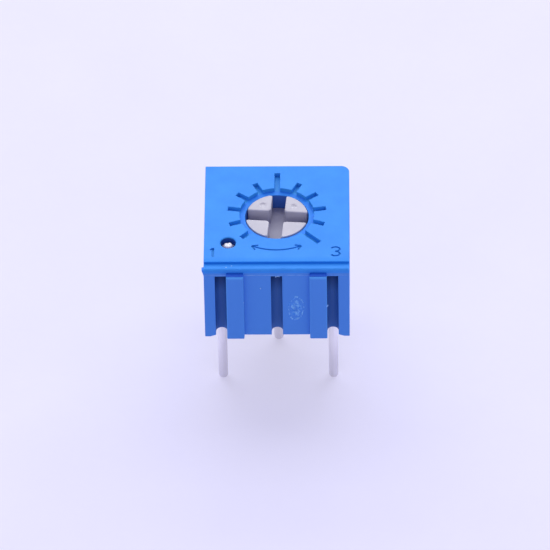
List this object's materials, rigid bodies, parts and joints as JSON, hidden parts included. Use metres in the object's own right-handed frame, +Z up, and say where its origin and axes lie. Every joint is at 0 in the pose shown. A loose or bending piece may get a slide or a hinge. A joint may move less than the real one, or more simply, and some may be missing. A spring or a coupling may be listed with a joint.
{
  "type": "trimmer potentiometer",
  "caption": "Square sealed trimmer potentiometer with a cross-slot rotor in a sunk dial on top and straight round leads in a triangle below.",
  "frame": {"origin": "on the rotor's axis, at the level of the board that the case's four feet stand on", "axes": "+Z up out of the board along the rotor's axis, -Y towards the side with the lead grooves and ribs, +X to the right seen from that side"},
  "size_m": [0.0067, 0.0071, 0.0078],
  "materials": {
    "case": "satin",
    "rotor": "satin",
    "seal_rubber": "matte",
    "spring_metal": "polished",
    "ceramic": "matte",
    "track": "satin",
    "film_metal": "satin",
    "lead_metal": "bright tinned",
    "solder": "bright",
    "resin": "gloss",
    "bead": "gloss"
  },
  "bodies": {
    "case": {"housing": "case", "element_base": "ceramic", "resistor_track": "track", "collector_pad": "film_metal", "end_pad_1": "film_metal", "end_pad_3": "film_metal", "terminal_1": "lead_metal", "terminal_2": "lead_metal", "terminal_3": "lead_metal", "solder_1": "solder", "solder_2": "solder", "solder_3": "solder", "base_seal": "resin", "vent_plug": "bead"},
    "wiper": {"rotor": "rotor", "contact_spring": "spring_metal", "seal_ring": "seal_rubber"}
  },
  "joints": [
    {"name": "rotor_turn", "type": "hinge", "parent": "case", "child": "wiper", "pos_m": [0, 0, 0], "axis": [0, 0, 1], "range_deg": [-130.4, 139.6]}
  ]
}
